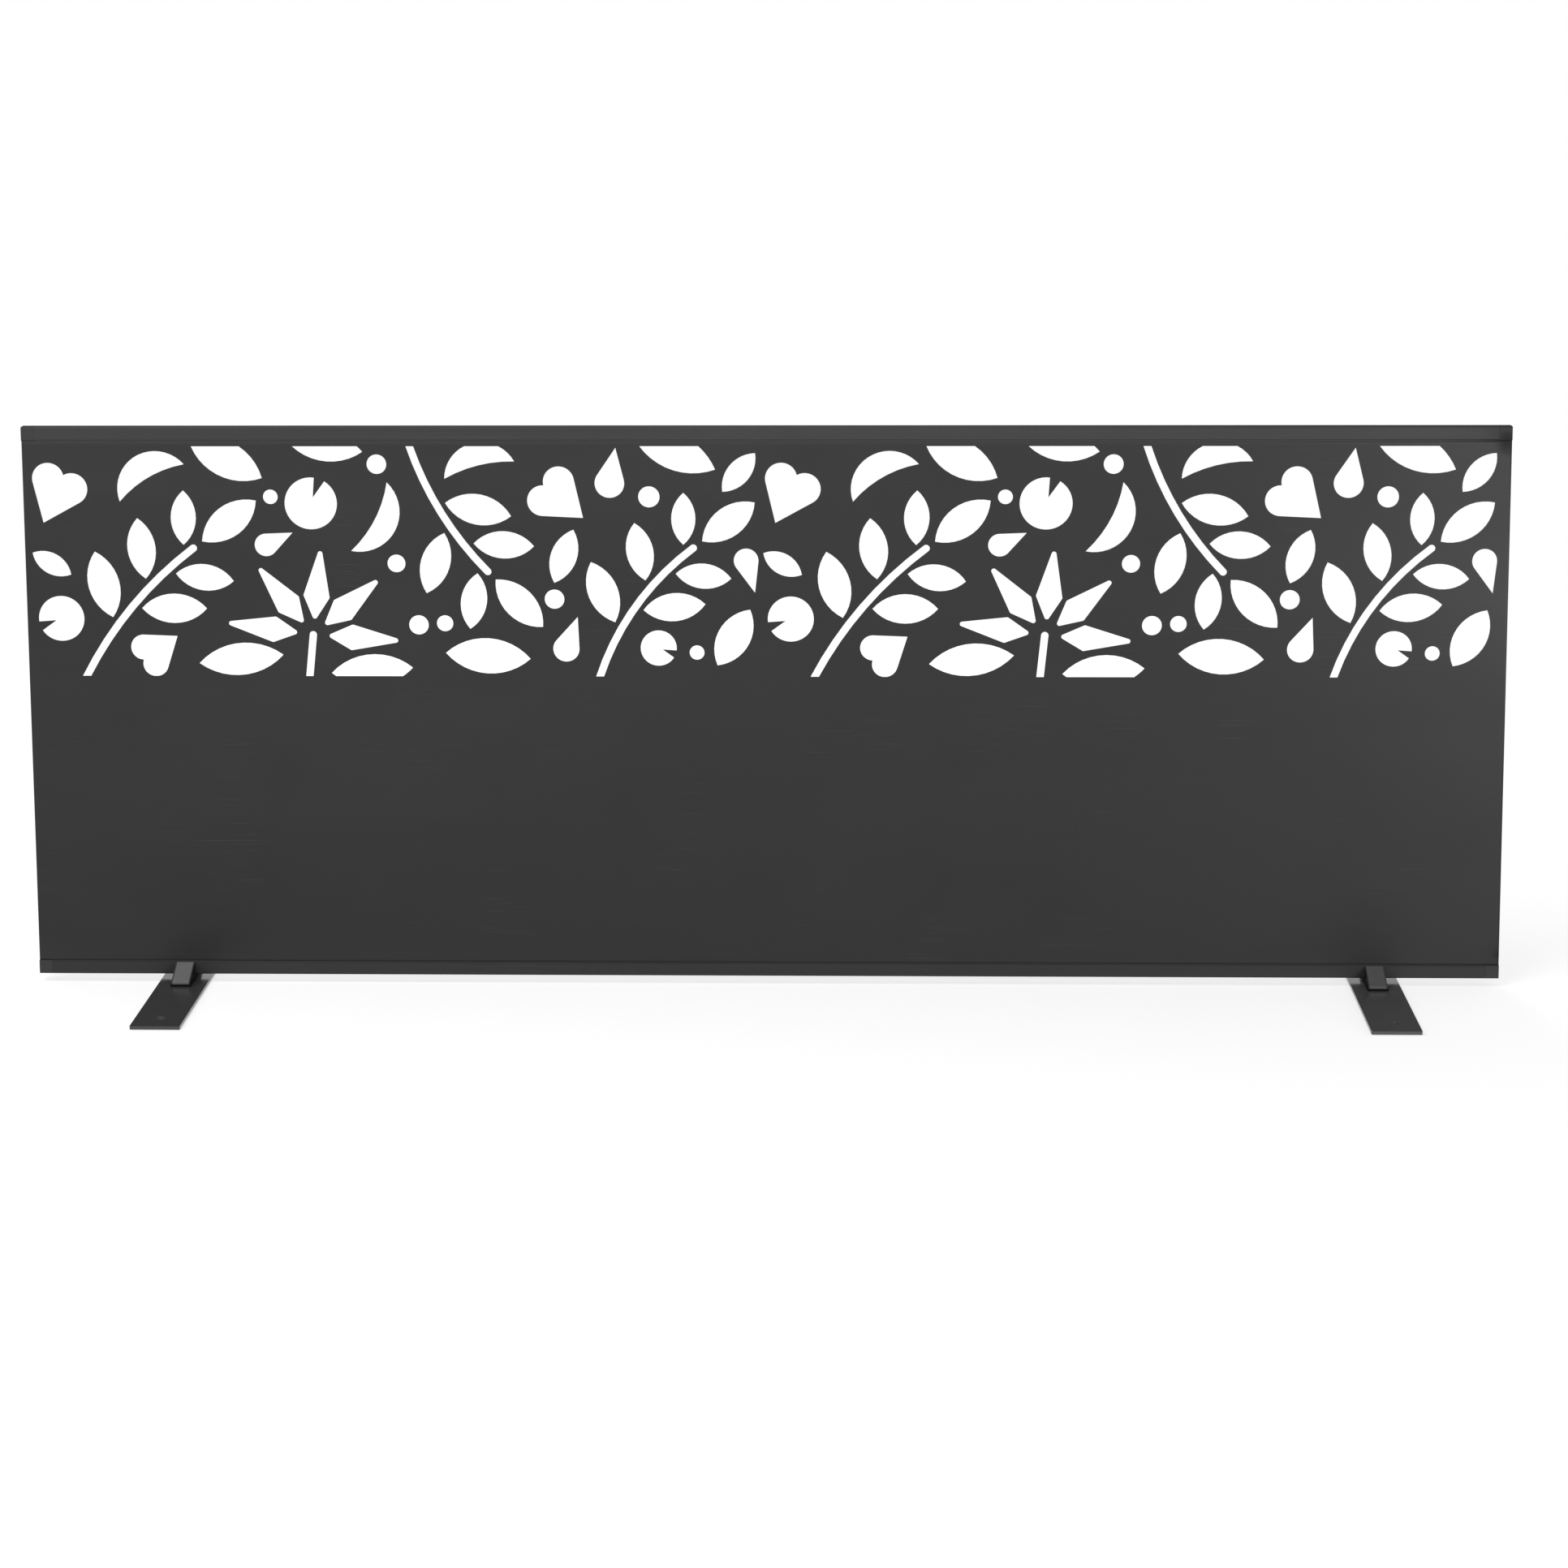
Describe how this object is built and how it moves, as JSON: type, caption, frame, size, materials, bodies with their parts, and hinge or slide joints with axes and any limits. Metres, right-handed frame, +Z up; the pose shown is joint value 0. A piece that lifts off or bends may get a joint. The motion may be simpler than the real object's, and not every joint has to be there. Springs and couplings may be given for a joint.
{
  "type": "decorative screen panel",
  "caption": "Low free-standing metal screen: a folded sheet with a band of leaf cut-outs between two tube rails, on two flat foot plates that clip on and slide along.",
  "frame": {"origin": "floor level, at the middle of the panel's length and depth", "axes": "+X along the panel, to the right as seen from the front; +Y to the rear; +Z up. The front looks along -Y."},
  "size_m": [1.8, 0.4, 0.6948],
  "materials": {
    "sheet_coat": "fine-textured anthracite powder coat, matt",
    "rail_coat": "anthracite powder coat, satin",
    "cap_plastic": "moulded, fine texture",
    "rivet_coat": "painted, satin",
    "plate_coat": "smooth anthracite lacquer, semi-gloss",
    "clip_metal": "grey satin",
    "cover_plastic": "black, moulded, matt",
    "screw_steel": "zinc-plated",
    "pad_rubber": "matt"
  },
  "bodies": {
    "panel": {"perforated_sheet": "sheet_coat", "top_rail": "rail_coat", "bottom_rail": "rail_coat", "top_left_end_cap": "cap_plastic", "top_right_end_cap": "cap_plastic", "bottom_left_end_cap": "cap_plastic", "bottom_right_end_cap": "cap_plastic", "top_rail_rivets": "rivet_coat", "bottom_rail_rivets": "rivet_coat"},
    "left_foot": {"left_base_plate": "plate_coat", "left_clip_gasket": "pad_rubber", "left_grip_clip": "clip_metal", "left_clip_covers": "cover_plastic", "left_clip_screws": "screw_steel", "left_floor_pads": "pad_rubber"},
    "right_foot": {"right_base_plate": "plate_coat", "right_clip_gasket": "pad_rubber", "right_grip_clip": "clip_metal", "right_clip_covers": "cover_plastic", "right_clip_screws": "screw_steel", "right_floor_pads": "pad_rubber"}
  },
  "joints": [
    {"name": "left_foot_slide", "type": "slide", "parent": "panel", "child": "left_foot", "axis": [1, 0, 0], "range_m": [-0.152, 0.618]},
    {"name": "right_foot_slide", "type": "slide", "parent": "panel", "child": "right_foot", "axis": [1, 0, 0], "range_m": [-0.648, 0.122]}
  ]
}
